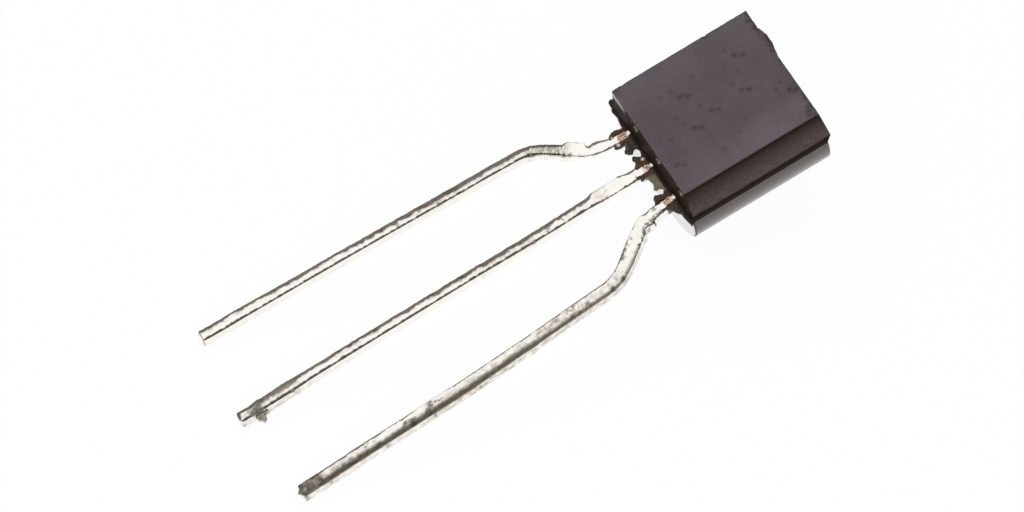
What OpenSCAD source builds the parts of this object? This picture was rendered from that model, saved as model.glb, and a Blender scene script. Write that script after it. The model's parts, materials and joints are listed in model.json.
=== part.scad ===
// TO-92 transistor: a moulded epoxy case, three stamped leads and, sealed in the
// case, the chip, its solder and two bond wires. Millimetres.
//
// The pieces are drawn in the case's frame: X across the case, Y from the lead
// end to the top, Z out of the flat face. Z = 0 is the parting plane of the
// mould, where the front faces of the leads lie. at_rest() then lays the whole
// transistor down: on the edge of its round back and the tip of its longest lead.

/* [Case] */
// Width of the flat face
flat_w = 4.1; // [3.9:0.05:4.2]
// Length of the flat face, from the lead end to the top
flat_len = 4.5; // [4.3:0.1:5.2]
// Depth from the flat face to the parting plane
front_depth = 1.22; // [1:0.02:1.4]
// Depth from the flat face to the round back
case_depth = 3.7; // [3.4:0.05:3.9]
// Radius of the round back
back_r = 2.29; // [2.26:0.01:2.4]
// How far the walls of the front half lean out by the parting plane
draft = 0.08; // [0.02:0.01:0.12]
// How far the front half stands past the back half at the top
top_step = 0.13; // [0.05:0.01:0.2]
// Thickness of the mould flash between the leads
flash_t = 0.05; // [0.03:0.01:0.1]

/* [Leads] */
// Distance between neighbouring leads where they leave the case
pitch = 1.27; // [1.2:0.01:1.35]
// Width of each lead
lead_w = 0.36; // [0.3:0.01:0.42]
// Thickness of each lead
lead_t = 0.38; // [0.3:0.01:0.42]
// Width of each lead between the case and the trimmed dam bar
root_w = 0.44; // [0.43:0.01:0.5]
// Distance from the case to the far side of the trimmed dam bar
root_len = 2; // [1.8:0.05:2.2]
// Length of the dam bar's stubs along the lead
stub_len = 0.6; // [0.3:0.05:0.8]
// How far the dam bar's stubs stand out of the lead's sides
stub_out = 0.05; // [0.02:0.01:0.1]

/* [Emitter lead] */
// Length outside the case, measured along the case
emitter_len = 13.5; // [10:0.1:13.8]
// Distance from the case to the corner where it turns outwards
emitter_knee = 1.2; // [1.1:0.05:1.3]
// Distance from the case to the corner where it turns back
emitter_elbow = 2.7; // [2.6:0.05:3]
// How far the two corners move it outwards
emitter_out = 1.21; // [1:0.01:1.3]
// How far its tip strays further outwards
emitter_stray = 0.26; // [0:0.01:0.5]

/* [Base lead] */
// Length outside the case
base_len = 13.9; // [13.8:0.1:16]
// How far its tip strays towards the collector lead
base_stray = 0.17; // [0:0.01:0.4]

/* [Collector lead] */
// Length outside the case, measured along the case
collector_len = 13.65; // [10:0.05:13.8]
// Distance from the case to the corner where it turns outwards
collector_knee = 1.05; // [1:0.05:1.15]
// Distance from the case to the corner where it turns back
collector_elbow = 2.85; // [2.75:0.05:3.1]
// How far the two corners move it outwards
collector_out = 1.44; // [1.2:0.01:1.5]
// How far its tip strays further outwards
collector_stray = 0.53; // [0.3:0.01:0.7]
// How far it bows outwards half way down
collector_bow = 0.1; // [0.05:0.01:0.15]

/* [Chip] */
// Side of the square chip
chip_side = 0.46; // [0.3:0.02:0.6]
// Thickness of the chip
chip_t = 0.2; // [0.15:0.01:0.3]
// Thickness of the solder under the chip
solder_t = 0.03; // [0.02:0.01:0.05]
// Diameter of the gold bond wires
wire_d = 0.05; // [0.04:0.01:0.06]
// How far each bond wire arches above a straight line
wire_rise = 0.3; // [0.25:0.01:0.35]

/* [Hidden] */
$fn = 96;

// Case
back_depth = case_depth - front_depth;
back_centre = back_r - back_depth;
lead_end = -draft;
front_top = flat_len + draft;
back_top = front_top - top_step;
inside = 0.3; // how deep the flash and the gate stub are rooted in the case
big = 20;

// Leads: each runs along the corners of its path, which starts inside the case
knee_r = 1.3;
elbow_r = 1.2;
bow_r = 12;
corner_steps = 8;
bow_at = (collector_elbow + collector_len) / 2;
emitter_path = [
    [-pitch, 2],
    [-pitch, -emitter_knee],
    [-pitch - emitter_out, -emitter_elbow],
    [-pitch - emitter_out - emitter_stray, -emitter_len]];
base_path = [
    [0, 1.2],
    [0, -root_len],
    [base_stray, -base_len]];
collector_path = [
    [pitch, 2.4],
    [pitch, -collector_knee],
    [pitch + collector_out, -collector_elbow],
    [pitch + collector_out + collector_stray / 2 + collector_bow, -bow_at],
    [pitch + collector_out + collector_stray, -collector_len]];
emitter_root_path = [
    emitter_path[0],
    emitter_path[1],
    towards(emitter_path[1], emitter_path[2], root_len - emitter_knee)];
base_root_path = [base_path[0], base_path[1]];
collector_root_path = [
    collector_path[0],
    collector_path[1],
    towards(collector_path[1], collector_path[2], root_len - collector_knee)];
outer_radii = [knee_r, elbow_r, bow_r];
tip_bevel = 0.08;

// Posts and paddle that the leads widen to inside the case
post_w = 0.75;
post_low = 1.6;
post_high = 2.8;
base_post_w = 0.9;
base_post_low = 0.9;
base_post_high = 1.6;
paddle_left = -0.45;
paddle_low = 2;
paddle_high = 3.6;

// Chip and bond wires
chip_at = [0.35, 2.8];
pad_offset = chip_side / 5;
chip_top = solder_t + chip_t;
solder_side = chip_side + 0.06;
base_post_at = [0, (base_post_low + base_post_high) / 2];
emitter_post_at = [-pitch + root_w / 2, (post_low + post_high) / 2];
ball_d = 2.6 * wire_d;
ball_h = 1.4 * wire_d;
foot_len = 4 * wire_d;
foot_w = 2 * wire_d;

// Rest: the edge of the round back and the longest lead's tip touch one plane
rest_angle = atan((back_depth - lead_t) / (base_len + lead_end));
rest_height = back_depth * cos(rest_angle) - lead_end * sin(rest_angle);
gate_out = 0.12;
x_low = emitter_path[3][0] - lead_w / 2;
x_high = collector_path[4][0] + lead_w / 2;
y_low = -base_len * cos(rest_angle);
y_high = (front_top + gate_out) * cos(rest_angle);

// Plan helpers: the outline of a strip of constant width along a path, with round
// corners. A side lies off to the left of the path, or to its right if off < 0.
function leg(path, i) = path[i + 1] - path[i];
function heading(path, i) = atan2(leg(path, i)[1], leg(path, i)[0]);
function turn(path, i) = heading(path, i) - heading(path, i - 1);
function polar(r, angle) = [r * cos(angle), r * sin(angle)];
function towards(from, to, distance) = from + distance * (to - from) / norm(to - from);
function corner_side(path, i, r, off) =
    let (side = sign(turn(path, i)),
         before = heading(path, i - 1),
         setback = r * tan(abs(turn(path, i)) / 2),
         centre = path[i] - polar(setback, before) + polar(r, before + side * 90))
    [for (k = [0 : corner_steps])
        centre + polar(r - side * off, before - side * 90 + turn(path, i) * k / corner_steps)];
function strip_side(path, radii, off) =
    let (last = len(path) - 1)
    [path[0] + polar(off, heading(path, 0) + 90),
     for (i = [1 : 1 : last - 1]) each corner_side(path, i, radii[i - 1], off),
     path[last] + polar(off, heading(path, last - 1) + 90)];
function reversed(points) = [for (i = [len(points) - 1 : -1 : 0]) points[i]];

module strip(path, radii, w) {
    polygon(concat(strip_side(path, radii, w / 2), reversed(strip_side(path, radii, -w / 2))));
}

// What is left of the dam bar: a stub on each side at the end of the root's path
module dam_stubs(path) {
    last = len(path) - 1;
    translate(path[last])
        rotate(heading(path, last - 1))
            translate([-stub_len, -root_w / 2 - stub_out])
                square([stub_len, root_w + 2 * stub_out]);
}

// Each outline of a lead, stamped from the same sheet
module stamped() {
    for (i = [0 : $children - 1])
        translate([0, 0, -lead_t])
            linear_extrude(lead_t)
                children(i);
}

module emitter_lead() {
    color("silver")
        stamped() {
            strip(emitter_path, outer_radii, lead_w);
            strip(emitter_root_path, outer_radii, root_w);
            dam_stubs(emitter_root_path);
            translate([-pitch - root_w / 2, post_low])
                square([post_w, post_high - post_low]);
        }
}

module base_lead() {
    color("silver")
        stamped() {
            strip(base_path, outer_radii, lead_w);
            strip(base_root_path, outer_radii, root_w);
            dam_stubs(base_root_path);
            translate([-base_post_w / 2, base_post_low])
                square([base_post_w, base_post_high - base_post_low]);
        }
}

module collector_lead() {
    color("silver")
        stamped() {
            difference() {
                strip(collector_path, outer_radii, lead_w);
                collector_tip_bevels();
            }
            strip(collector_root_path, outer_radii, root_w);
            dam_stubs(collector_root_path);
            translate([paddle_left, paddle_low])
                square([pitch + root_w / 2 - paddle_left, paddle_high - paddle_low]);
        }
}

// The two clipped corners at the collector lead's tip
module collector_tip_bevels() {
    translate(collector_path[4])
        rotate(heading(collector_path, 3))
            for (side = [-1, 1])
                translate([0, side * lead_w / 2])
                    rotate(45)
                        square(tip_bevel * sqrt(2), center = true);
}

module chip() {
    color("dimgray")
        translate([chip_at[0] - chip_side / 2, chip_at[1] - chip_side / 2, solder_t])
            cube([chip_side, chip_side, chip_t]);
}

module chip_solder() {
    color("lightgray")
        translate([chip_at[0] - solder_side / 2, chip_at[1] - solder_side / 2, 0])
            cube([solder_side, solder_side, solder_t]);
}

// A wire from a ball on the chip, in one arc, to a flattened foot on a post
module bond_wire(chip_pad, post) {
    from = [chip_pad[0], chip_pad[1], chip_top + ball_h / 2];
    to = [post[0], post[1], ball_h / 2];
    run = norm([to[0] - from[0], to[1] - from[1]]);
    span = norm(to - from);
    slope = atan2(to[2] - from[2], run);
    arc_r = (span * span / 4 + wire_rise * wire_rise) / (2 * wire_rise);
    half = asin(span / 2 / arc_r);
    azimuth = atan2(to[1] - from[1], to[0] - from[0]);
    color("gold") {
        translate([from[0], from[1], chip_top])
            cylinder(h = ball_h, d = ball_d);
        translate([post[0], post[1], 0])
            rotate(azimuth)
                translate([-foot_len / 2, -foot_w / 2, 0])
                    cube([foot_len, foot_w, ball_h]);
        translate(from)
            rotate([0, -slope, azimuth])
                translate([span / 2, 0, wire_rise - arc_r])
                    rotate([90, 0, 0])
                        rotate(90 - half)
                            rotate_extrude(angle = 2 * half)
                                translate([arc_r, 0])
                                    circle(d = wire_d);
    }
}

module base_wire() {
    bond_wire(chip_at + [-pad_offset, -pad_offset], base_post_at);
}

module emitter_wire() {
    bond_wire(chip_at + [-pad_offset, pad_offset], emitter_post_at);
}

// Front half: four walls that lean out from the flat face to the parting plane
module case_front() {
    intersection() {
        translate([0, big / 2, 0])
            rotate([90, 0, 0])
                linear_extrude(big)
                    polygon([[-flat_w / 2, front_depth],
                             [flat_w / 2, front_depth],
                             [flat_w / 2 + draft, 0],
                             [-flat_w / 2 - draft, 0]]);
        translate([-big / 2, 0, 0])
            rotate([90, 0, 90])
                linear_extrude(big)
                    polygon([[0, front_depth],
                             [flat_len, front_depth],
                             [front_top, 0],
                             [lead_end, 0]]);
    }
}

// Back half: a D-shaped prism
module case_back() {
    translate([0, back_top, 0])
        rotate([90, 0, 0])
            linear_extrude(back_top - lead_end)
                intersection() {
                    translate([0, back_centre])
                        circle(back_r);
                    translate([-big / 2, -big])
                        square([big, big]);
                }
}

// Stub of the moulding gate, broken off at the top of the front half
module gate_stub() {
    translate([-1.87, flat_len, 0])
        linear_extrude(0.45)
            polygon([[0, -inside],
                     [0, draft],
                     [0.15, draft + 0.1],
                     [0.32, draft + gate_out],
                     [0.57, draft + 0.08],
                     [0.95, draft],
                     [0.95, -inside]]);
}

// Epoxy that bled along the parting plane: thin films between the leads, and lumps
// that cling to the leads' sides and lap a little over their front faces
module flash() {
    translate([0, 0, -flash_t / 2])
        linear_extrude(flash_t)
            difference() {
                flash_films();
                translate([-0.26, -0.21])
                    circle(0.04);
            }
    translate([0, 0, -flash_t * 4])
        linear_extrude(flash_t * 4.7)
            flash_lumps();
}

module flash_films() {
    polygon([[-1.41, inside], [-2.2, inside], [-2.44, 0.13], [-2.48, 0], [-2.38, -0.08],
             [-2.12, -0.16], [-1.9, -0.13], [-1.41, -0.19]]);
    polygon([[-1.12, inside], [-1.12, -0.3], [-0.92, -0.36], [-0.8, -0.48], [-0.7, -0.54],
             [-0.63, -0.48], [-0.58, -0.38], [-0.65, -0.3], [-0.66, -0.22], [-0.58, -0.17],
             [-0.48, -0.19], [-0.44, -0.27], [-0.51, -0.36], [-0.47, -0.45], [-0.36, -0.47],
             [-0.28, -0.42], [-0.11, -0.42], [-0.11, inside]]);
    polygon([[0.13, inside], [0.13, -0.42], [0.3, -0.43], [0.55, -0.4], [0.67, -0.41],
             [0.77, -0.45], [0.84, -0.41], [0.86, -0.3], [0.94, -0.24], [1.02, -0.28],
             [1.01, -0.38], [1.17, -0.4], [1.17, inside]]);
    polygon([[1.38, inside], [1.38, -0.4], [1.7, -0.49], [1.73, -0.36], [1.8, -0.28],
             [2, -0.21], [2.2, -0.14], [2.2, inside]]);
}

module flash_lumps() {
    polygon([[-1.41, inside], [-1.41, -0.6], [-1.49, -0.66], [-1.56, -0.48], [-1.52, -0.29],
             [-1.52, inside]]);
    polygon([[-1.12, inside], [-1.12, -0.6], [-1.02, -0.7], [-0.94, -0.62], [-0.92, -0.4],
             [-0.98, -0.2], [-0.98, inside]]);
    polygon([[-0.11, inside], [-0.09, -0.5], [-0.26, -0.48], [-0.32, -0.32], [-0.29, inside]]);
    polygon([[0.13, inside], [0.13, -0.66], [0.2, -0.7], [0.24, -0.56], [0.33, -0.56],
             [0.36, -0.5], [0.3, -0.4], [0.28, inside]]);
    polygon([[1.17, inside], [1.2, -0.6], [1.12, -0.66], [1, -0.6], [0.93, -0.55], [0.94, -0.42],
             [1.01, -0.3], [1.01, inside]]);
    polygon([[1.38, inside], [1.4, -0.58], [1.5, -0.6], [1.6, -0.53], [1.69, -0.45],
             [1.66, inside]]);
}

module case_body() {
    color("#4c4248")
        difference() {
            union() {
                case_front();
                case_back();
                gate_stub();
                flash();
            }
            emitter_lead();
            base_lead();
            collector_lead();
            chip();
            chip_solder();
            base_wire();
            emitter_wire();
        }
}

// Lays the transistor down, with the origin under the middle of its bounding box
module at_rest() {
    translate([-(x_low + x_high) / 2, -(y_low + y_high) / 2, rest_height])
        rotate([rest_angle, 0, 0])
            children();
}

at_rest() case_body();  // case
at_rest() emitter_lead();
at_rest() base_lead();
at_rest() collector_lead();
at_rest() chip();
at_rest() chip_solder();
at_rest() base_wire();
at_rest() emitter_wire();
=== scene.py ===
"""TO-92 transistor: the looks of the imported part, in Blender.

The case and the three leads are rebuilt here as detailed meshes that stand for their CAD
nodes: rounded and chipped edges, ragged mould flash, solder that bulges at the bends, and
stains. They are drawn in millimetres in the case's own axes (X across the case, Y from the
lead end to the top, Z out of the flat, Z = 0 on the parting plane), and placed in the row
frame by the mount on the flat face. The chip, its solder and the bond wires, sealed inside,
keep their CAD meshes.
"""

import json
from itertools import product
from math import cos, pi, radians, sin, tan

import bmesh
import bpy
import numpy as np
from mathutils import Matrix, Vector, noise


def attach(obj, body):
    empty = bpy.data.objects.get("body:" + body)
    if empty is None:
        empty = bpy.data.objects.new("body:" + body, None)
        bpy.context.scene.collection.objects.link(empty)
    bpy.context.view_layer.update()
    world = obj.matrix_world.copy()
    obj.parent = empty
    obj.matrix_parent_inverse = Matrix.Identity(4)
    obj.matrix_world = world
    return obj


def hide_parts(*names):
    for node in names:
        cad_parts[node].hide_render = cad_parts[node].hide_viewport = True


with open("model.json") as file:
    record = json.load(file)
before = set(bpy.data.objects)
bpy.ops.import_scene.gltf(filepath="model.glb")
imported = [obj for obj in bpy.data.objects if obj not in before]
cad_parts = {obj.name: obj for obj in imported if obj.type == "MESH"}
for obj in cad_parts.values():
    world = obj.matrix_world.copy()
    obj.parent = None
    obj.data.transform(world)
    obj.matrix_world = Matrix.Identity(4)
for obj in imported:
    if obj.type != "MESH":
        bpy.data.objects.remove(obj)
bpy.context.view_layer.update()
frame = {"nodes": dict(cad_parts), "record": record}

MM = 0.001

# ------------ sizes, in millimetres

# Case
FLAT_W = 4.1
FLAT_LEN = 4.5
FRONT_DEPTH = 1.22
CASE_DEPTH = 3.7
BACK_R = 2.33
DRAFT = 0.08
SIDE_DRAFT = 0.12
TOP_DRAFT = 0.12
TOP_STEP = 0.13
FLASH_T = 0.05
BACK_CENTRE = BACK_R - (CASE_DEPTH - FRONT_DEPTH)
LEAD_END = -DRAFT
BACK_TOP = FLAT_LEN + DRAFT - TOP_STEP
FRONT_EDGE_R = 0.02
BACK_EDGE_R = 0.04
FRONT_GRID = 0.04
BACK_GRID = 0.06
FLASH_GRID = 0.018
STUB_GRID = 0.02

# Leads
PITCH = 1.27
LEAD_X = (-PITCH, 0, PITCH)
LEAD_T = 0.38
ROOT = 0.44 / 2
KNEE_R = 1.3
ELBOW_R = 1.2
BOW_R = 12
LEFT_R = 0.02
UNDER_R = 0.05
TIP_R = 0.06
FILLET_R = 0.24
FILLET_HEIGHT = 0.045
RING_STEP = 0.035
STEEPEST = 32

# How far the right side face seems to lie past the top's edge, for each millimetre down
SIDE_SLOPE = 0.54

# Corners of the leads' centre lines, seen from the flat side, from inside the case to the tip
EMITTER_ELBOW = -PITCH - 1.21
COLLECTOR_ELBOW = PITCH + 1.44
EMITTER_PATH = ((-PITCH, 2), (-PITCH, -1.2), (EMITTER_ELBOW, -2.7), (EMITTER_ELBOW - 0.26, -13.5))
BASE_PATH = ((0, 1.2), (0, -2), (0.17, -13.9))
COLLECTOR_PATH = (
    (PITCH, 2.4), (PITCH, -1.05), (COLLECTOR_ELBOW, -2.85), (COLLECTOR_ELBOW + 0.365, -8.25),
    (COLLECTOR_ELBOW + 0.53, -13.65),
)

# The camera: the photograph's view, from 600 mm away; angles in degrees
VIEW_AZIMUTH = -27.889
VIEW_ELEVATION = 57.553
VIEW_ROLL = -2.648
VIEW_DISTANCE = 600
VIEW_WIDTH = 29.19
VIEW_RIGHT = -0.302
VIEW_UP = 0.828


def case_frame(record):
    """The case's axes in the row frame, in metres, from the mount on the flat face."""
    mount = next(m for m in record["mounts"] if m["name"] == "flat_front")
    out = Vector(mount["axis"])
    across = Vector((1, 0, 0))
    up = out.cross(across)
    turn = Matrix((across, up, out)).transposed()
    middle = Vector((0, FLAT_LEN / 2, FRONT_DEPTH)) * MM
    origin = Vector(mount["pos_m"]) - turn @ middle
    return Matrix.Translation(origin) @ turn.to_4x4() @ Matrix.Scale(MM, 4)


CASE_TO_ROW = case_frame(frame["record"])


# ------------ helpers


def rough(points, scale, seed=0):
    """Smooth noise from about -1 to 1 at each point; scale is the size of its largest lumps."""
    offset = Vector((7.3 * seed, 3.1 * seed, 5.7 * seed))
    return np.array([noise.fractal(Vector(p) / scale + offset, 1.0, 2.0, 3) for p in points])


def wavering(distance, level, scale, seed):
    """Noise that changes only with the distance along a lead. Level picks a line through the noise."""
    return rough(np.column_stack([distance, np.full((len(distance), 2), level)]), scale, seed)


def smooth_step(low, high, value):
    """0 at low and 1 at high, which may be the lower of the two."""
    t = np.clip((value - low) / (high - low), 0, 1)
    return t * t * (3 - 2 * t)


def band(value, low, high, soft):
    """1 from low to high, fading out over soft beyond each."""
    return smooth_step(low - soft, low, value) * smooth_step(high + soft, high, value)


def near(points, centre, radius):
    """1 at the centre, falling smoothly to 0 at the radius."""
    return smooth_step(radius, 0, np.linalg.norm(points - np.array(centre), axis=1))


def spots(points, places):
    """The strongest of some spots at each point. A place is its centre, radius and strength."""
    return np.max([strength * near(points, centre, radius) for centre, radius, strength in places], 0)


def pushed(points, out, amount):
    """The points moved outwards, each by its own amount."""
    return points + out * amount[:, None]


def circle(angles):
    """Unit vectors at those angles."""
    return np.column_stack([np.cos(angles), np.sin(angles)])


def direction(azimuth, elevation):
    """The unit vector towards an azimuth and an elevation in degrees."""
    azimuth, elevation = radians(azimuth), radians(elevation)
    return Vector((cos(elevation) * cos(azimuth), cos(elevation) * sin(azimuth), sin(elevation)))


def in_scene(name, data):
    thing = bpy.data.objects.new(name, data)
    bpy.context.scene.collection.objects.link(thing)
    return thing


def turn_outwards(mesh, weld=None):
    """Turns all faces outwards, once points closer than weld are joined."""
    work = bmesh.new()
    work.from_mesh(mesh)
    if weld:
        bmesh.ops.remove_doubles(work, verts=work.verts, dist=weld)
    bmesh.ops.recalc_face_normals(work, faces=work.faces)
    work.to_mesh(mesh)
    work.free()


class Shape:
    """One piece's closed shells, with named values at each point for its materials to read."""

    def __init__(self):
        self.shells = []

    def add(self, points, faces, slots=0, own=None, **marks):
        """Adds a shell. Slots is a material's index, or one for each face; own, where a texture sees it."""
        slots = np.broadcast_to(slots, len(faces))
        self.shells.append((points, faces, slots, points if own is None else own, marks))

    def build(self, name, materials):
        """Makes the object in the row frame, smooth, with its marks and own_mm as attributes."""
        points, faces, slots, own, marks = zip(*self.shells)
        starts = np.cumsum([0, *map(len, points)])
        joined = [tuple(i + start for i in face) for start, shell in zip(starts, faces) for face in shell]
        mesh = bpy.data.meshes.new(name)
        mesh.from_pydata([CASE_TO_ROW @ Vector(p) for p in np.concatenate(points)], [], joined)
        for material in materials:
            mesh.materials.append(material)
        mesh.polygons.foreach_set("material_index", np.concatenate(slots))
        mesh.polygons.foreach_set("use_smooth", [True] * len(joined))
        place = mesh.attributes.new("own_mm", "FLOAT_VECTOR", "POINT")
        place.data.foreach_set("vector", np.concatenate(own).astype(np.float32).ravel())
        for mark in sorted(set().union(*marks)):
            values = [np.full(len(shell), given.get(mark, 0.0)) for given, shell in zip(marks, points)]
            layer = mesh.attributes.new(mark, "FLOAT", "POINT")
            layer.data.foreach_set("value", np.concatenate(values).astype(np.float32))
        turn_outwards(mesh, 1e-4 * MM)
        return in_scene(name, mesh)


def rounded_block(low, high, radius, step):
    """A block with rounded edges: its points, its quads and the outward directions at the points."""
    ends = radius * np.array([0, 0.35, 0.7])
    lines = []
    for a, b in zip(low, high):
        middle = np.linspace(a + radius, b - radius, max(2, round((b - a) / step)))
        lines.append(np.concatenate([a + ends, middle, (b - ends)[::-1]]))
    last = [len(line) - 1 for line in lines]
    index = {}
    faces = []
    for axis in range(3):
        a, b = [n for n in range(3) if n != axis]
        for end, i, j in product((0, last[axis]), range(last[a]), range(last[b])):
            corner = [end, end, end]
            quad = []
            for di, dj in ((0, 0), (1, 0), (1, 1), (0, 1)):
                corner[a], corner[b] = i + di, j + dj
                quad.append(index.setdefault(tuple(corner), len(index)))
            faces.append(quad)
    points = np.array([[line[k] for line, k in zip(lines, corner)] for corner in index])
    core = np.clip(points, np.array(low) + radius, np.array(high) - radius)
    out = points - core
    out /= np.linalg.norm(out, axis=1)[:, None]
    return core + radius * out, faces, out


def lofted(rings):
    """Points and faces of a closed tube through the rings, which all have as many points."""
    size = len(rings[0])
    last = (len(rings) - 1) * size
    faces = []
    for start, j in product(range(0, last, size), range(size)):
        k = (j + 1) % size
        faces.append((start + j, start + k, start + size + k, start + size + j))
    faces.append(tuple(range(size)))
    faces.append(tuple(range(last, last + size)))
    return np.concatenate(rings), faces


def capped(ring, middle, steps=16):
    """Smaller and smaller copies of a ring, to close a tube's end with even faces."""
    return [ring + (middle - ring) * k / (steps + 0.2) for k in range(1, steps + 1)]


def extruded(outline, low, high):
    """Points and faces of an outline extruded from low to high."""
    return lofted([np.array([(x, y, z) for x, y in outline]) for z in (low, high)])


def melted(solids, voxel):
    """Fuses overlapping solids by a voxel remesh: points, faces and the outward directions."""
    points, faces = [], []
    for solid_points, solid_faces in solids:
        faces += [tuple(i + len(points) for i in face) for face in solid_faces]
        points += list(solid_points)
    mesh = bpy.data.meshes.new("melting")
    mesh.from_pydata(points, [], faces)
    turn_outwards(mesh)
    lump = in_scene("melting", mesh)
    remesh = lump.modifiers.new("melt", "REMESH")
    remesh.mode = "VOXEL"
    remesh.voxel_size = voxel
    skin = lump.evaluated_get(bpy.context.evaluated_depsgraph_get()).data
    points = np.array([v.co for v in skin.vertices])
    out = np.array([v.normal for v in skin.vertices])
    faces = [tuple(p.vertices) for p in skin.polygons]
    bpy.data.objects.remove(lump)
    bpy.data.meshes.remove(mesh)
    return points, faces, out


# ------------ materials


class Nodes:
    """A node tree in the making. The methods past add give one output of the node they add."""

    def __init__(self, owner):
        owner.use_nodes = True
        self.tree = owner.node_tree
        self.tree.nodes.clear()

    def add(self, kind, inputs=(), **settings):
        """Adds a node and gives its outputs. Inputs are values, nodes' outputs or the names of marks."""
        made = self.tree.nodes.new("ShaderNode" + kind)
        for name, value in settings.items():
            setattr(made, name, value)
        for key, value in dict(inputs).items():
            socket = made.inputs[key]
            if isinstance(value, str):
                value = self.add("Attribute", attribute_name=value)["Fac"]
            if isinstance(value, bpy.types.NodeSocket):
                self.tree.links.new(value, socket)
            elif socket.type == "RGBA":
                socket.default_value = (*value, 1)
            else:
                socket.default_value = value
        return made.outputs

    def ramp(self, value, low, high, to_low=0, to_high=1):
        """Maps low..high smoothly onto to_low..to_high, and holds the ends."""
        ends = {"From Min": low, "From Max": high, "To Min": to_low, "To Max": to_high}
        return self.add("MapRange", {"Value": value, **ends}, interpolation_type="SMOOTHSTEP")["Result"]

    def math(self, operation, *values):
        return self.add("Math", enumerate(values), operation=operation)["Value"]

    def mix(self, share, first, second):
        return self.add("Mix", {0: share, 6: first, 7: second}, data_type="RGBA")[2]


class Paint(Nodes):
    """A material in the making, whose colour is laid on coat by coat."""

    def __init__(self, name):
        self.material = bpy.data.materials.new(name)
        super().__init__(self.material)

    def noise(self, size, detail=3, roughness=0.55, stretch=(1, 1, 1), source=None):
        """Noise with lumps up to that size, in the piece's own millimetres or in the source's units."""
        source = source or self.add("Attribute", attribute_name="own_mm")["Vector"]
        place = self.add("Mapping", {"Vector": source, "Scale": stretch})["Vector"]
        inputs = {"Vector": place, "Scale": 1 / size, "Detail": detail, "Roughness": roughness}
        return self.add("TexNoise", inputs)["Fac"]

    def tones(self, value, low, high, first, second):
        """The first colour where value is low, blending into the second where it is high."""
        return self.mix(self.ramp(value, low, high), first, second)

    def cover(self, share, colour):
        """Lays a colour over the last one. Share is how much of it shows."""
        self.colour = self.mix(share, self.colour, colour)

    def bump(self, height, depth, strength):
        """Depth is the bump's real height in millimetres."""
        return self.add("Bump", {"Height": height, "Distance": depth * MM, "Strength": strength})["Normal"]

    def finish(self, inputs):
        surface = self.add("BsdfPrincipled", {"Base Color": self.colour, **inputs})
        self.add("OutputMaterial", {"Surface": surface["BSDF"]})
        return self.material


def epoxy_material():
    """Dark filled epoxy: purplish grey with a faint brown mottle, fine grain, smudges and worn edges, paler
    towards the flat face's sides, with painted shade along the rims and in the groove under the ledge, and
    a painted highlight along the back half's parting edge.
    """
    paint = Paint("epoxy")
    cloud = paint.noise(0.9, 4)
    mottle = paint.noise(0.16, 4, 0.65)
    grain = paint.noise(0.035, 3, 0.7)
    paint.colour = paint.tones(cloud, 0.38, 0.62, (0.0615, 0.0435, 0.0558), (0.0712, 0.0505, 0.0664))
    paint.cover(paint.ramp(mottle, 0.5, 0.75), (0.074, 0.052, 0.05))
    paint.cover(paint.ramp(grain, 0.5, 0.72, 0, 0.65), (0.118, 0.094, 0.11))
    # Paler towards the flat face's sides
    paint.cover("faded", (0.15, 0.12, 0.142))
    sparse = paint.ramp(paint.noise(0.7, 2, stretch=(0.8, 1.1, 1)), 0.45, 0.6)
    blotch = paint.ramp(paint.noise(0.17, 3, 0.65, stretch=(0.8, 1.15, 1)), 0.53, 0.68)
    faint = paint.math("MULTIPLY", paint.math("MULTIPLY", sparse, blotch), 0.22)
    paint.cover(faint, (0.03, 0.02, 0.025))
    paint.cover("warm", (0.072, 0.049, 0.039))
    torn = paint.ramp(paint.noise(0.07, 3, 0.7), 0.36, 0.54, 0.28, 1)
    paint.cover(paint.math("MULTIPLY", "smudge", torn), (0.02, 0.009, 0.016))
    # Wear, and on the back half a painted highlight along the edge at the parting plane
    paint.cover("wear", (0.15, 0.115, 0.1))
    # Painted shade, with some real grime: the rims, the walls towards the flat, the lead end and the groove
    # under the ledge are darkened
    paint.cover("grime", (0.018, 0.012, 0.01))
    rubbed = paint.math("MULTIPLY", grain, paint.math("SUBTRACT", 1, "polish"))
    return paint.finish({
        "Roughness": paint.math("MULTIPLY_ADD", "polish", -0.33, paint.ramp(mottle, 0.3, 0.7, 0.38, 0.46)),
        "IOR": 1.45,
        "Normal": paint.bump(rubbed, 0.004, 0.6),
        "Coat Weight": "gloss",
        "Coat Roughness": 0.05,
    })


def wall_material():
    """The same epoxy on the walls, matt, with painted shade darkening them towards the flat face, and with
    a few shiny patches.
    """
    paint = Paint("epoxy_side")
    mottle = paint.noise(0.14, 4, 0.7)
    grain = paint.noise(0.035, 3, 0.7)
    paint.colour = paint.tones(mottle, 0.36, 0.66, (0.083, 0.066, 0.071), (0.142, 0.105, 0.101))
    paint.cover(paint.ramp(grain, 0.5, 0.72, 0, 0.6), (0.175, 0.144, 0.142))
    # Painted shade: the walls darken towards the flat face and the lead end is darkened all over
    paint.cover("grime", (0.017, 0.009, 0.006))
    return paint.finish({
        "Roughness": paint.ramp(mottle, 0.3, 0.7, 0.58, 0.68),
        "IOR": 1.13,
        "Normal": paint.bump(grain, 0.004, 0.7),
        "Coat Weight": "gloss",
        "Coat Roughness": 0.05,
    })


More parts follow.
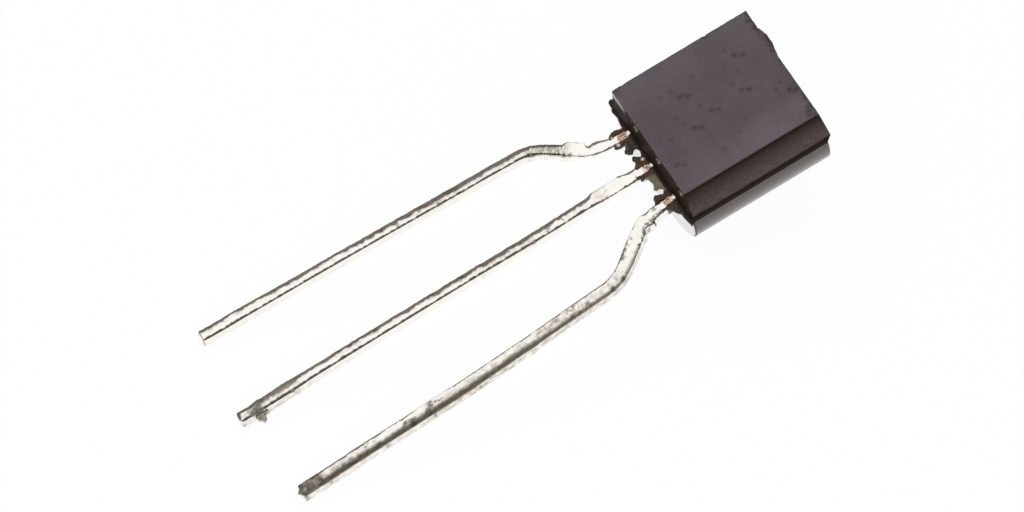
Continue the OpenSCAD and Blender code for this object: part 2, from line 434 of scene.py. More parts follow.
def flash_material():
    """Resin that bled out of the mould: glassy dark brown, olive where it is thin as painted light showing
    through, reddish at the leads, with painted glints.
    """
    paint = Paint("flash_resin")
    mottle = paint.noise(0.08, 4, 0.7)
    cloud = paint.noise(0.2, 2)
    paint.colour = paint.tones(mottle, 0.35, 0.65, (0.026, 0.019, 0.015), (0.085, 0.072, 0.06))
    paint.cover("red", paint.tones(cloud, 0.4, 0.6, (0.1, 0.048, 0.024), (0.06, 0.03, 0.026)))
    # Painted light: the floor's light showing through the thin film, laid in as an olive colour
    paint.cover("thin", paint.tones(cloud, 0.4, 0.6, (0.22, 0.195, 0.135), (0.17, 0.145, 0.11)))
    # Darker next to the case
    paint.cover("deep", (0.02, 0.012, 0.008))
    # Painted glints
    paint.cover("glint", (0.8, 0.79, 0.68))
    return paint.finish({"Roughness": 0.45, "IOR": 1.3, "Normal": paint.bump(mottle, 0.015, 0.7)})


def tin_material():
    """Dipped solder: bright and creamy, hatched with tarnish, with painted shade along the left edges,
    copper at the case and brown stains.
    """
    paint = Paint("tinned_lead")
    hatch = paint.noise(0.055, 3, 0.7, stretch=(0.35, 1, 0.35))
    mottle = paint.noise(0.15, 4, 0.65, stretch=(1, 0.6, 1))
    cloud = paint.noise(0.3, 2, stretch=(1, 0.5, 1))
    grain = paint.noise(0.035, 3, 0.6)
    paint.colour = paint.tones(mottle, 0.35, 0.62, (0.92, 0.89, 0.83), (1, 0.99, 0.96))
    cloudy = paint.ramp(mottle, 0.34, 0.64)
    lines = paint.math("SUBTRACT", paint.ramp(hatch, 0.38, 0.62), cloudy)
    patchy = paint.math("MULTIPLY_ADD", "hatched", lines, cloudy)
    tarnish = paint.tones(cloud, 0.4, 0.6, (0.54, 0.43, 0.35), (0.44, 0.4, 0.32))
    # This mark also carries painted shade along the leads' left edges
    paint.cover(paint.math("MULTIPLY", "tarnish", patchy), tarnish)
    copper = paint.tones(paint.noise(0.07, 3, 0.6), 0.42, 0.58, (0.57, 0.41, 0.315), (0.22, 0.125, 0.085))
    paint.cover("copper", copper)
    paint.cover("stain", paint.tones(mottle, 0.3, 0.7, (0.075, 0.06, 0.04), (0.16, 0.132, 0.092)))
    # On the leads this mark is only real grime and clinging resin, no painted shade
    paint.cover("grime", (0.07, 0.056, 0.044))
    dull = paint.math("MAXIMUM", "stain", "grime")
    ripple = paint.noise(0.1, 1, 0.4, stretch=(1, 0.6, 1))
    return paint.finish({
        "Metallic": paint.ramp(dull, 0.2, 0.9, 1, 0.35),
        "Roughness": paint.math("MULTIPLY_ADD", dull, 0.2, paint.ramp(grain, 0.3, 0.7, 0.1, 0.2)),
        "Normal": paint.bump(ripple, 0.0015, 1),
    })


def plain_metal(name, low, high, roughness, metallic=1):
    """A hidden piece's material: two tones, a fine grain."""
    paint = Paint(name)
    grain = paint.noise(0.05 * MM, source=paint.add("TexCoord")["Object"])
    paint.colour = paint.mix(grain, low, high)
    return paint.finish({
        "Metallic": metallic,
        "Roughness": paint.ramp(grain, 0.3, 0.7, roughness, roughness + 0.12),
        "Normal": paint.bump(grain, 0.001, 0.5),
    })


# ------------ case

# The case's materials, by their place in its list
EPOXY, RESIN, WALL = range(3)

# Places on the flat face's rim where a little epoxy has chipped away: x, y, z, radius, depth
RIM_CHIPS = (
    (-1.9, 4.5, 1.22, 0.12, 0.03), (-1.7, 4.52, 1.18, 0.12, 0.03), (-1.42, 4.52, 1.2, 0.15, 0.04),
    (-0.6, 4.5, 1.22, 0.1, 0.02), (1.7, 4.5, 1.22, 0.1, 0.03), (2, 4.42, 1.22, 0.13, 0.03),
    (-2.05, 3.1, 1.22, 0.08, 0.025), (-2.05, 0.35, 1.22, 0.1, 0.02), (2.05, 0.2, 1.22, 0.08, 0.02),
)

# Smudges on the flat face: x, y, radius, strength
SMUDGES = (
    (-1.72, 4.36, 0.12, 1), (-1.42, 4.38, 0.1, 0.6), (-1.3, 4.47, 0.12, 0.9), (1.66, 4.37, 0.16, 0.9),
    (1.78, 4.32, 0.17, 1), (1.88, 4.27, 0.17, 1), (0.9, 4.22, 0.16, 1), (1, 4.33, 0.17, 0.7),
    (0.85, 4.3, 0.3, 0.3), (0.52, 4.11, 0.12, 0.45), (0.68, 3.91, 0.15, 0.7), (0.88, 3.89, 0.11, 0.4),
    (1.4, 4.38, 0.13, 0.5), (-2, 3.08, 0.12, 0.9), (-2, 0.08, 0.24, 0.8), (-1.96, 0.55, 0.12, 0.3),
    (-0.98, 3.49, 0.16, 0.75), (-0.87, 3.68, 0.16, 0.7), (-1.28, 3.31, 0.13, 0.4),
    (-0.48, 3.3, 0.13, 0.45), (0.2, 3.28, 0.16, 0.75), (0.11, 3.09, 0.16, 0.75), (-0.2, 2.94, 0.13, 0.4),
    (-1.69, 2.67, 0.11, 0.45), (1.22, 2.36, 0.13, 0.4), (-1.1, 2.12, 0.14, 0.35), (0.24, 2.2, 0.14, 0.7),
    (0.16, 2.04, 0.16, 0.8), (-0.16, 1.84, 0.13, 0.4), (-0.64, 1.71, 0.14, 0.7), (-0.73, 1.53, 0.16, 0.8),
    (1.45, 1.71, 0.13, 0.55), (0.46, 1.52, 0.16, 0.7), (0.37, 1.36, 0.16, 0.8), (-1.04, 1.36, 0.14, 0.4),
    (-1.04, 1, 0.14, 0.4), (-0.18, 1.07, 0.13, 0.4), (0.07, 1.16, 0.13, 0.4), (0.32, 0.6, 0.16, 0.35),
    (1.2, 0.49, 0.14, 0.6), (1.11, 0.31, 0.15, 0.8),
)

# Shiny patches on the front half's lead end: half width as a share of half height, how far right of
# each lead, how high, and half width
SHINE_SQUASH = 0.7
SHINE_X = 0.52
SHINE_Z = 0.68 / SHINE_SQUASH
SHINE_R = 0.27


def add_front(case):
    """Front half: a block whose walls lean out towards the parting plane."""
    low = (-FLAT_W / 2, 0, -FRONT_EDGE_R)
    high = (FLAT_W / 2, FLAT_LEN, FRONT_DEPTH)
    points, faces, out = rounded_block(low, high, FRONT_EDGE_R, FRONT_GRID)
    to_side = FLAT_W / 2 - abs(points[:, 0])
    to_end = np.minimum(points[:, 1], FLAT_LEN - points[:, 1])
    rim = smooth_step(0.07, 0, FRONT_DEPTH - points[:, 2] + np.minimum(to_side, to_end))
    for *place, radius, depth in RIM_CHIPS:
        points = pushed(points, out, -depth * near(points, place, radius))
    points = pushed(points, out, -0.02 * rim * np.clip(rough(points, 0.12, seed=1), 0, 1))
    spread = (FRONT_DEPTH - points[:, 2]) / FRONT_DEPTH
    points[:, 0] *= 1 + spread * SIDE_DRAFT / (FLAT_W / 2)
    points[:, 1] += spread * (points[:, 1] / FLAT_LEN * (DRAFT + TOP_DRAFT) - DRAFT)
    facing = np.array([out[face].mean(0) for face in faces])
    matt = (abs(facing[:, 0]) > 0.75) | (facing[:, 1] < -0.75)
    case.add(points, faces, np.where(matt, WALL, EPOXY), **front_marks(points, rim, spread))


def front_marks(points, rim, spread):
    """The front half's marks. Rim is 1 round the flat face; spread, 0 there and 1 on the parting plane."""
    x, y, z = points.T
    below = FRONT_DEPTH - z
    lead_face = smooth_step(0.01, 0, y)
    broken = np.clip(1.2 * rough(points, 0.12, seed=3) + 0.6, 0, 1)

    from_top = FLAT_LEN - y + 0.05 * rough(points, 0.1, seed=9)
    along_top = np.interp(
        x, (-2, -1.5, -1.1, -0.3, 0.1, 0.6, 1.2, 2), (1, 0.9, 0.8, 0.9, 0.7, 0.65, 0.9, 1))
    # Painted shade: dark lines along the top and left rims of the flat face
    top_rim = smooth_step(0.15, 0.05, from_top) * smooth_step(0.35, 0.1, below) * along_top * broken
    left_rim = smooth_step(0.07 - FLAT_W / 2, 0.02 - FLAT_W / 2, x) * rim * broken
    on_wall = smooth_step(FLAT_W / 2 - 0.03, FLAT_W / 2, abs(x))
    wall_end = FLAT_LEN + spread * TOP_DRAFT - y
    # Painted shade on the side walls: darkest under the flat face's edge and by the top end, fading towards
    # the parting plane
    wall_shade = np.interp(below, (0, 0.12, 0.16, FRONT_DEPTH), (1, 1, 0.88, 0.02))
    wall_shade = on_wall * np.maximum(wall_shade, 0.7 * smooth_step(0.1, 0.03, wall_end))

    corner_shine = np.interp(x, (-2.05, -1.45, -1.3), (1, 0.6, 0)) * smooth_step(0.85, 0.98, z)
    patches = [((lead_x + SHINE_X, SHINE_SQUASH * SHINE_Z), SHINE_R, 1.5) for lead_x in LEAD_X]
    lead_shine = np.minimum(1, spots(np.column_stack([x, SHINE_SQUASH * z]), patches))
    smudge = spots(points, [((*place, FRONT_DEPTH), size, strength) for *place, size, strength in SMUDGES])
    # Paler towards the flat face's left and right edges, most on the right
    faded = np.interp(x, (-1.9, -1.1, -0.8, 0.9, 1.4, 1.9), (0.2, 0.1, 0, 0, 0.28, 0.36))
    lead_rim = rim * smooth_step(0.06, 0.02, abs(y - 0.03))
    return {
        # Painted shade along the rims, on the walls and over the whole lead-end face
        "grime": np.maximum.reduce([0.9 * top_rim, 0.5 * left_rim, wall_shade, lead_face]),
        "gloss": np.maximum(corner_shine, lead_shine) * lead_face,
        "smudge": np.clip(smudge * (1.1 + 0.6 * rough(points, 0.1, seed=7)), 0, 1),
        "faded": faded * np.clip(0.8 + 0.6 * rough(points, 0.9, seed=12), 0, 1),
        "wear": 0.5 * lead_rim * np.clip(rough(points, 0.2, seed=2) + 0.35, 0, 1),
    }


def back_section(top_points=50, corner_points=4):
    """The back half's D-shaped section less its edge radius: points and the outward directions there."""
    radius = BACK_R - BACK_EDGE_R
    start = np.arcsin((-BACK_EDGE_R - BACK_CENTRE) / radius)
    angles = np.linspace(start, -pi - start, round(radius * (pi + 2 * start) / BACK_GRID))
    arc = radius * circle(angles) + (0, BACK_CENTRE)
    right, left = arc[0], arc[-1]
    corner = (corner_points, 1)
    points = [arc, np.tile(left, corner), np.linspace(left, right, top_points), np.tile(right, corner)]
    turn = (start - pi / 2) * np.linspace(0, 1, corner_points + 2)[1:-1]
    outs = [angles, pi - start + turn, np.full(top_points, pi / 2), pi / 2 + turn]
    return np.concatenate(points), circle(np.concatenate(outs))


def add_back(case):
    """Back half: a D-shaped prism with rounded edges."""
    flat, out = back_section()

    def ring(y, grow):
        place = flat + out * grow
        return np.column_stack([place[:, 0], np.full(len(place), y), place[:, 1]])

    turns = np.linspace(0, pi / 2, 5)
    low, high = LEAD_END + BACK_EDGE_R, BACK_TOP - BACK_EDGE_R
    rings = [ring(low - BACK_EDGE_R * sin(turn), BACK_EDGE_R * cos(turn)) for turn in turns[::-1]]
    between = np.linspace(low, high, round((high - low) / BACK_GRID) + 1)[1:-1]
    rings += [ring(y, BACK_EDGE_R) for y in between]
    rings += [ring(high + BACK_EDGE_R * sin(turn), BACK_EDGE_R * cos(turn)) for turn in turns]
    first, last = [capped(end, (0, end[0][1], BACK_CENTRE - BACK_R / 2)) for end in (rings[0], rings[-1])]
    points, faces = lofted(first[::-1] + rings + last)
    lead_face = smooth_step(LEAD_END + 0.02, LEAD_END, points[:, 1])
    # Painted shade in the groove under the ledge and along the rim at the lead end; the rest of the back
    # half is a little darker too
    ledge = smooth_step(-0.03, -0.005, points[:, 2])
    end_rim = smooth_step(0.07, 0.04, points[:, 1] - LEAD_END) * (1 - lead_face)
    # Painted highlight: a paler line along the back half's edge at the parting plane
    edge = band(points[:, 2], -0.05, -0.03, 0.03) * (1 - lead_face)
    middle_y = np.array([points[list(face), 1].mean() for face in faces])
    matt = (middle_y > LEAD_END + 0.001) & (middle_y < low)
    case.add(
        points, faces, np.where(matt, WALL, EPOXY), gloss=lead_face, polish=0.6 + 0.4 * lead_face, warm=0.8,
        grime=np.maximum.reduce([0.8 * ledge, 0.5 * end_rim, 0.25 * (1 - lead_face)]),
        wear=edge * np.clip(0.8 + 0.5 * rough(points, 0.3, seed=14), 0, 1))


# Outlines of the flash, seen from the flat side
FILMS = (
    ((-1.41, 0.3), (-2.2, 0.3), (-2.44, 0.13), (-2.5, 0), (-2.44, -0.09), (-2.24, -0.11), (-2.12, -0.17),
     (-2, -0.14), (-1.85, -0.13), (-1.7, -0.17), (-1.41, -0.2)),
    ((-1.12, 0.3), (-1.12, -0.25), (-0.98, -0.3), (-0.92, -0.42), (-0.83, -0.49), (-0.72, -0.55),
     (-0.63, -0.46), (-0.58, -0.37), (-0.69, -0.28), (-0.69, -0.2), (-0.6, -0.15), (-0.48, -0.17),
     (-0.4, -0.21), (-0.43, -0.29), (-0.53, -0.38), (-0.5, -0.45), (-0.4, -0.48), (-0.3, -0.44),
     (-0.11, -0.44), (-0.11, 0.3)),
    ((0.13, 0.3), (0.13, -0.42), (0.3, -0.44), (0.46, -0.4), (0.6, -0.38), (0.68, -0.42), (0.76, -0.47),
     (0.83, -0.4), (0.82, -0.3), (0.88, -0.24), (0.98, -0.26), (1.02, -0.3), (0.97, -0.38), (1.17, -0.4),
     (1.17, 0.3)),
    ((1.38, 0.3), (1.38, -0.4), (1.56, -0.43), (1.64, -0.37), (1.76, -0.3), (1.86, -0.22), (2.05, -0.2),
     (2.25, -0.18), (2.39, -0.16), (2.35, -0.06), (2.28, 0), (2.25, 0.3)),
    ((2, 4.4), (2.05, 4.6), (2.16, 4.61), (2.25, 4.5), (2.31, 4.43), (2.3, 4.38), (2.2, 4.38)),
)
LUMPS = (
    ((-1.33, 0.3), (-1.34, -0.14), (-1.39, -0.2), (-1.39, -0.5), (-1.36, -0.68), (-1.45, -0.68),
     (-1.54, -0.53), (-1.56, -0.41), (-1.5, -0.25), (-1.47, 0.3)),
    ((-1.19, 0.3), (-1.18, -0.13), (-1.14, -0.2), (-1.15, -0.45), (-1.14, -0.62), (-1.06, -0.71),
     (-1, -0.64), (-0.98, -0.5), (-1.05, -0.38), (-1.07, -0.2), (-1.04, 0.3)),
    ((-0.06, 0.3), (-0.07, -0.16), (-0.11, -0.25), (-0.1, -0.53), (-0.2, -0.53), (-0.33, -0.42),
     (-0.3, 0.3)),
    ((0.08, 0.3), (0.09, -0.2), (0.13, -0.28), (0.13, -0.62), (0.18, -0.7), (0.19, -0.55), (0.28, -0.6),
     (0.3, -0.54), (0.22, -0.42), (0.19, -0.3), (0.22, 0.3)),
    ((1.15, 0.3), (1.15, -0.5), (1.18, -0.68), (1.1, -0.62), (0.99, -0.62), (0.93, -0.54), (0.96, -0.42),
     (1.04, -0.32), (1.03, 0.3)),
    ((1.37, 0.3), (1.37, -0.2), (1.42, -0.35), (1.43, -0.58), (1.46, -0.6), (1.47, -0.5), (1.54, -0.44),
     (1.58, -0.38), (1.56, -0.31), (1.5, 0.3)),
)

# Painted glints on the flash: x, y, radius
GLINTS = ((-1.07, -0.56, 0.08), (-0.28, -0.22, 0.08), (-1.37, -0.6, 0.06))

# Stub of the moulding gate: its left corner on the top end, its outline from there and its thickness
GATE_CORNER = (-1.87, FLAT_LEN, 0.23)
GATE = (
    (0, -0.3), (0, 0.08), (0.1, 0.15), (0.27, 0.19), (0.45, 0.22), (0.65, 0.21), (0.85, 0.19),
    (1.05, 0.16), (1.25, 0.13), (1.45, 0.09), (1.45, -0.3),
)
GATE_T = 0.44


def add_flash(case):
    """Thin films along the parting plane and lumps beside the leads, with ragged edges."""
    solids = [extruded(outline, -FLASH_T / 2, FLASH_T / 2) for outline in FILMS]
    solids += [extruded(outline, -2 * FLASH_T, 0.7 * FLASH_T) for outline in LUMPS]
    points, faces, out = melted(solids, FLASH_GRID)
    ragged = 0.022 * rough(points, 0.09, seed=4)
    points = pushed(points, out * [1, 1, 0.25], ragged)
    x, y = points[:, 0], points[:, 1]
    red = spots(points * [1, 0.6, 1], [((lead_x, -0.2, 0), 0.45, 1.3) for lead_x in LEAD_X])
    case.add(
        points, faces, RESIN,
        # Painted light showing through the thin film
        thin=smooth_step(0.22, 0.4, x) * smooth_step(1, 0.9, x) * smooth_step(-0.15, -0.2, y),
        red=np.minimum(red, 0.9),
        # Darker next to the case
        deep=0.9 * smooth_step(-0.19, -0.11, y + 0.4 * ragged),
        glint=spots(points * [1, 1, 0], [((*place, 0), radius, 1) for *place, radius in GLINTS]))


def add_gate(case):
    """The gate's stub, broken off at the top end and thinner towards its ends."""
    points, faces = extruded(GATE, -GATE_T / 2, GATE_T / 2)
    points[:, 2] *= np.interp(points[:, 0], (0, 0.2, 1, 1.45), (0.5, 1, 1, 0.4))
    points += GATE_CORNER
    points, faces, out = melted([(points, faces)], STUB_GRID)
    points = pushed(points, out, 0.03 * rough(points, 0.25, seed=5))
    case.add(points, faces, EPOXY, wear=np.clip(0.4 + 0.25 * rough(points, 0.4, seed=6), 0, 1))


def make_case():
    case = Shape()
    add_front(case)
    add_back(case)
    add_flash(case)
    add_gate(case)
    return case.build("case_shell", [epoxy_material(), flash_material(), wall_material()])


# ------------ leads

# Each lead's solder skin: distance from the case, left half, right half, lean, arris
INSIDE = (-5, ROOT, ROOT, 0.03, 0.03)
EMITTER_ROWS = (
    INSIDE, (0.2, 0.17, 0.15, 0.03, 0.03), (0.65, 0.18, 0.135, 0.105, 0.055),
    (0.95, 0.26, 0.14, 0.155, 0.06), (1.1, 0.3, 0.14, 0.195, 0.045), (1.25, 0.265, 0.145, 0.185, 0.04),
    (1.38, 0.185, 0.145, 0.185, 0.02), (1.46, 0.18, 0.16, 0.145, 0.02), (1.53, 0.28, 0.17, 0.03, 0.02),
    (1.85, 0.29, 0.17, 0.03, 0.03), (2.06, 0.28, 0.19, 0.06, 0.06), (2.2, 0.205, 0.17, 0.2, 0.075),
    (2.6, 0.185, 0.165, 0.23, 0.075), (3.05, 0.175, 0.185, 0.24, 0.105), (3.5, 0.2, 0.155, 0.295, 0.075),
    (4.5, 0.205, 0.145, 0.315, 0.07), (7.2, 0.205, 0.145, 0.31, 0.065), (8.5, 0.205, 0.145, 0.285, 0.07),
    (9.4, 0.2, 0.145, 0.2, 0.07), (10.5, 0.2, 0.15, 0.26, 0.075), (12, 0.205, 0.165, 0.19, 0.075),
    (12.6, 0.215, 0.17, 0.22, 0.085), (12.8, 0.205, 0.175, 0.14, 0.085), (13.2, 0.2, 0.185, 0.19, 0.09),
    (20, 0.195, 0.165, 0.18, 0.1),
)
BASE_ROWS = (
    INSIDE, (0.2, 0.17, 0.17, 0.03, 0.03), (0.6, 0.19, 0.19, 0.12, 0.065),
    (0.9, 0.195, 0.21, 0.13, 0.065), (1.05, 0.24, 0.21, 0.11, 0.06), (1.1, 0.27, 0.21, 0.1, 0.06),
    (1.16, 0.22, 0.21, 0.02, 0.045), (1.5, 0.21, 0.21, 0.02, 0.04), (1.95, 0.225, 0.2, 0.03, 0.045),
    (2.03, 0.23, 0.19, 0.12, 0.06), (2.16, 0.195, 0.185, 0.23, 0.075), (2.6, 0.185, 0.18, 0.25, 0.08),
    (3.2, 0.17, 0.19, 0.245, 0.075), (4.5, 0.17, 0.18, 0.27, 0.075), (6, 0.195, 0.15, 0.28, 0.07),
    (10, 0.22, 0.135, 0.22, 0.08), (11.6, 0.22, 0.14, 0.22, 0.09), (12.1, 0.24, 0.165, 0.24, 0.115),
    (12.4, 0.245, 0.17, 0.24, 0.115), (13.1, 0.215, 0.17, 0.23, 0.095), (13.25, 0.25, 0.175, 0.27, 0.105),
    (13.5, 0.195, 0.17, 0.18, 0.11), (20, 0.185, 0.165, 0.14, 0.1),
)
COLLECTOR_ROWS = (
    INSIDE, (0.2, 0.13, 0.2, 0.03, 0.03), (0.6, 0.105, 0.25, 0.1, 0.08), (1, 0.105, 0.27, 0.1, 0.085),
    (1.12, 0.16, 0.31, 0.04, 0.095), (1.22, 0.18, 0.3, 0.03, 0.085), (1.34, 0.19, 0.21, 0.02, 0.065),
    (1.48, 0.2, 0.17, 0.035, 0.055), (1.6, 0.205, 0.25, 0.035, 0.075), (1.72, 0.21, 0.22, 0.03, 0.075),
    (2, 0.225, 0.235, 0.08, 0.085), (2.15, 0.23, 0.235, 0.13, 0.095), (2.5, 0.22, 0.24, 0.15, 0.11),
    (2.8, 0.205, 0.22, 0.09, 0.105), (3.15, 0.245, 0.165, 0.09, 0.08), (3.45, 0.255, 0.155, 0.085, 0.09),
    (4.6, 0.255, 0.155, 0.085, 0.09), (5.9, 0.24, 0.16, 0.075, 0.08), (6.35, 0.235, 0.195, 0.075, 0.13),
    (6.6, 0.24, 0.175, 0.075, 0.14), (8, 0.255, 0.175, 0.07, 0.17), (9.2, 0.27, 0.165, 0.075, 0.17),
    (9.3, 0.27, 0.165, 0.02, 0.17), (9.6, 0.265, 0.165, 0.02, 0.17), (9.7, 0.265, 0.165, 0.075, 0.16),
    (10.7, 0.26, 0.16, 0.08, 0.14), (12.3, 0.27, 0.17, 0.125, 0.17), (12.45, 0.25, 0.175, 0.105, 0.17),
    (13.2, 0.245, 0.185, 0.115, 0.18), (20, 0.25, 0.195, 0.085, 0.15),
)

# Dark marks on each lead: distance from the case, how far across, radius, strength
EMITTER_BLOTS = (
    (1.9, 0.13, 0.1, 1), (2.08, 0.15, 0.09, 1), (1.38, -0.14, 0.09, 0.8), (3.1, 0.16, 0.13, 0.7),
    (3.18, 0.3, 0.1, 0.2), (1.75, -0.26, 0.06, 0.7), (1.65, 0.14, 0.07, 0.5), (1.25, -0.2, 0.08, 0.6),
    (6.15, 0.08, 0.08, 0.7), (6.05, -0.06, 0.08, 0.7), (6.72, -0.04, 0.08, 0.6), (5.1, -0.05, 0.1, 0.5),
    (7.45, 0, 0.13, 0.5), (0.6, 0.13, 0.07, 0.8), (3.6, -0.04, 0.08, 0.5), (4.3, -0.05, 0.1, 0.4),
    (2.45, -0.05, 0.12, 0.4), (2.56, 0.03, 0.1, 0.4), (2.75, 0.05, 0.11, 0.5), (2.3, 0, 0.1, 0.35),
    (0.6, -0.15, 0.08, 0.8), (0.76, -0.19, 0.07, 0.7), (0.88, -0.22, 0.07, 0.7), (1.2, 0.15, 0.07, 0.5),
    (1.3, 0.16, 0.06, 0.4), (1.5, 0.14, 0.06, 0.35),
)
BASE_BLOTS = (
    (3.09, 0, 0.05, 0.8), (3.09, 0.07, 0.05, 0.8), (3.1, 0.14, 0.05, 0.8), (3.5, -0.04, 0.08, 0.8),
    (3.58, 0.03, 0.08, 0.8), (3.66, 0.1, 0.08, 0.8), (0.68, 0.13, 0.09, 1), (4.17, 0.17, 0.08, 0.8),
    (1.62, -0.03, 0.06, 0.4), (1.7, 0.02, 0.05, 0.4), (4.9, -0.03, 0.08, 0.6), (6.5, -0.04, 0.1, 0.5),
    (13.2, -0.12, 0.17, 0.8), (13.3, -0.04, 0.18, 0.85), (13.42, 0.04, 0.18, 0.9),
    (13.56, 0.08, 0.15, 0.85), (13.3, 0.12, 0.16, 0.9), (13.42, 0.14, 0.14, 0.9), (13.3, 0.26, 0.18, 0.7),
    (13.42, 0.3, 0.15, 0.75), (12.25, 0.14, 0.1, 0.8), (13.95, -0.05, 0.08, 1), (13.95, 0.05, 0.07, 0.8),
    (13.92, 0.3, 0.07, 0.3), (12.1, 0.33, 0.1, 0.15), (12.8, 0.33, 0.1, 0.15), (13.05, 0.34, 0.08, 0.3),
    (5.85, 0.25, 0.08, 0.25), (0.78, -0.14, 0.08, 0.7), (1.08, -0.24, 0.06, 0.8), (1.7, 0.17, 0.07, 0.5),
    (1.85, 0.18, 0.07, 0.5),
)
COLLECTOR_BLOTS = (
    (0.75, 0, 0.08, 0.6), (0.8, 0.22, 0.06, 0.5), (1.15, 0.24, 0.12, 0.9), (1.3, 0.16, 0.08, 0.9),
    (1.4, 0.12, 0.06, 0.9), (1.5, 0.12, 0.07, 0.9), (1.62, 0.19, 0.08, 0.9), (1.78, 0.19, 0.08, 0.9),
    (1.35, 0.3, 0.1, 0.6), (1.42, 0.36, 0.08, 0.4), (1.75, 0.32, 0.06, 0.4), (1.85, -0.12, 0.06, 0.6),
    (2.08, -0.12, 0.06, 0.6), (2.3, -0.17, 0.07, 0.6), (2.5, -0.12, 0.12, 0.8), (3.1, 0.13, 0.12, 0.9),
    (3.22, -0.02, 0.07, 0.4), (3.48, 0.08, 0.13, 0.9), (3.5, -0.08, 0.06, 0.4), (4.3, 0.02, 0.12, 0.7),
    (4.72, -0.17, 0.09, 0.7), (4.9, -0.15, 0.08, 0.6), (4.8, 0.05, 0.1, 0.5), (5.3, -0.1, 0.12, 0.35),
    (9.3, -0.11, 0.06, 1), (9.4, -0.09, 0.05, 0.9), (9.5, -0.12, 0.06, 0.9), (9.64, -0.2, 0.12, 0.8),
    (9.7, -0.1, 0.16, 0.85), (9.8, -0.02, 0.15, 0.8), (10.36, 0.08, 0.16, 0.9), (11.8, -0.17, 0.07, 0.7),
    (11.9, -0.11, 0.08, 0.7), (12.85, -0.06, 0.08, 0.6), (11.6, -0.1, 0.1, 0.3), (12.2, -0.05, 0.09, 0.3),
    (11.55, 0.02, 0.12, 0.6), (12.45, 0, 0.16, 0.6), (12.7, 0, 0.14, 0.6), (13, -0.06, 0.12, 0.35),
    (7.33, 0.28, 0.07, 0.5), (8, 0.3, 0.06, 0.4), (8.18, 0.27, 0.08, 0.7), (9.7, 0.24, 0.08, 0.7),
    (6.8, 0.3, 0.06, 0.3), (11.3, 0.24, 0.1, 0.4), (14.05, 0.33, 0.08, 0.6), (13.25, 0.26, 0.1, 0.6),
    (13.5, -0.04, 0.14, 0.7), (13.45, 0.08, 0.12, 0.7), (13.9, 0, 0.16, 0.6), (14.05, -0.12, 0.12, 0.8),
    (0.64, 0.19, 0.09, 0.7), (0.8, 0.195, 0.09, 0.7), (0.96, 0.195, 0.09, 0.7), (1.1, 0.195, 0.11, 0.8),
    (1.1, 0.3, 0.1, 0.8), (1.18, 0.28, 0.1, 0.8), (1.26, 0.19, 0.1, 0.8), (1.56, 0.18, 0.1, 0.9),
)

# Sliver of solder that hangs from the base lead near its tip, seen from the flat side
BURR = (
    (0.25, -13.16), (0.42, -13.12), (0.38, -13.24), (0.55, -13.28), (0.62, -13.4), (0.5, -13.42),
    (0.46, -13.5), (0.25, -13.54),
)


def lead_line(path, radii):
    """A lead's centre line from its first corner to its tip, with its other corners rounded."""
    corners = np.array(path, float)
    along = np.diff(corners, axis=0)
    angles = np.arctan2(along[:, 1], along[:, 0])
    line = [corners[:1]]
    for corner, radius, before, after in zip(corners[1:], radii, angles, angles[1:]):
        side = np.sign(after - before)
        ahead, sideways = circle([before, before + side * pi / 2])
        centre = corner + radius * (sideways - ahead * tan(abs(after - before) / 2))
        line.append(centre + radius * circle(np.linspace(before, after, 25) - side * pi / 2))
    return np.concatenate([*line, corners[-1:]])


def spaced(line):
    """Points RING_STEP apart on a line, and its direction there."""
    lengths = np.concatenate([[0], np.cumsum(np.linalg.norm(np.diff(line, axis=0), axis=1))])
    at = np.linspace(0, lengths[-1], round(lengths[-1] / RING_STEP) + 1)
    points = np.column_stack([np.interp(at, lengths, line[:, k]) for k in (0, 1)])
    heading = np.gradient(points, axis=0)
    return points, heading / np.linalg.norm(heading, axis=1)[:, None]


def lead_section(left, right, lean, arris):
    """Section of a lead, from -left to right across and from 0 down to -LEAD_T: points, outward directions.

    The solder set unevenly: the top slopes down over a width of lean at the left, steeper and
    steeper, and rounds over at the right with a radius of arris.
    """
    across = np.linspace(-left + LEFT_R, right - arris, 18)
    tilt = radians(STEEPEST) * (1 - np.clip((across + left) / lean, 0, 1)) ** 1.25
    drop = np.tan((tilt[1:] + tilt[:-1]) / 2) * np.diff(across)
    height = -np.append(np.cumsum(drop[::-1])[::-1], 0)
    points = [np.column_stack([across, height])]
    outs = [circle(tilt + pi / 2)]

    def corner(x, z, radius, start, steps=6):
        out = circle(np.radians(start - 90 * np.arange(1, steps) / steps))
        points.append(radius * out + (x, z))
        outs.append(out)

    def straight(start, end, out):
        points.append(np.linspace(start, end, 7))
        outs.append(np.tile(out, (7, 1)))

    corner(right - arris, -arris, arris, 90, 8)
    straight((right, -arris), (right, UNDER_R - LEAD_T), (1, 0))
    corner(right - UNDER_R, UNDER_R - LEAD_T, UNDER_R, 0)
    straight((right - UNDER_R, -LEAD_T), (UNDER_R - left, -LEAD_T), (0, -1))
    corner(UNDER_R - left, UNDER_R - LEAD_T, UNDER_R, -90)
    straight((-left, UNDER_R - LEAD_T), (-left, height[0] - LEFT_R), (-1, 0))
    corner(LEFT_R - left, height[0] - LEFT_R, LEFT_R, 180, 4)
    return np.concatenate(points), np.concatenate(outs)


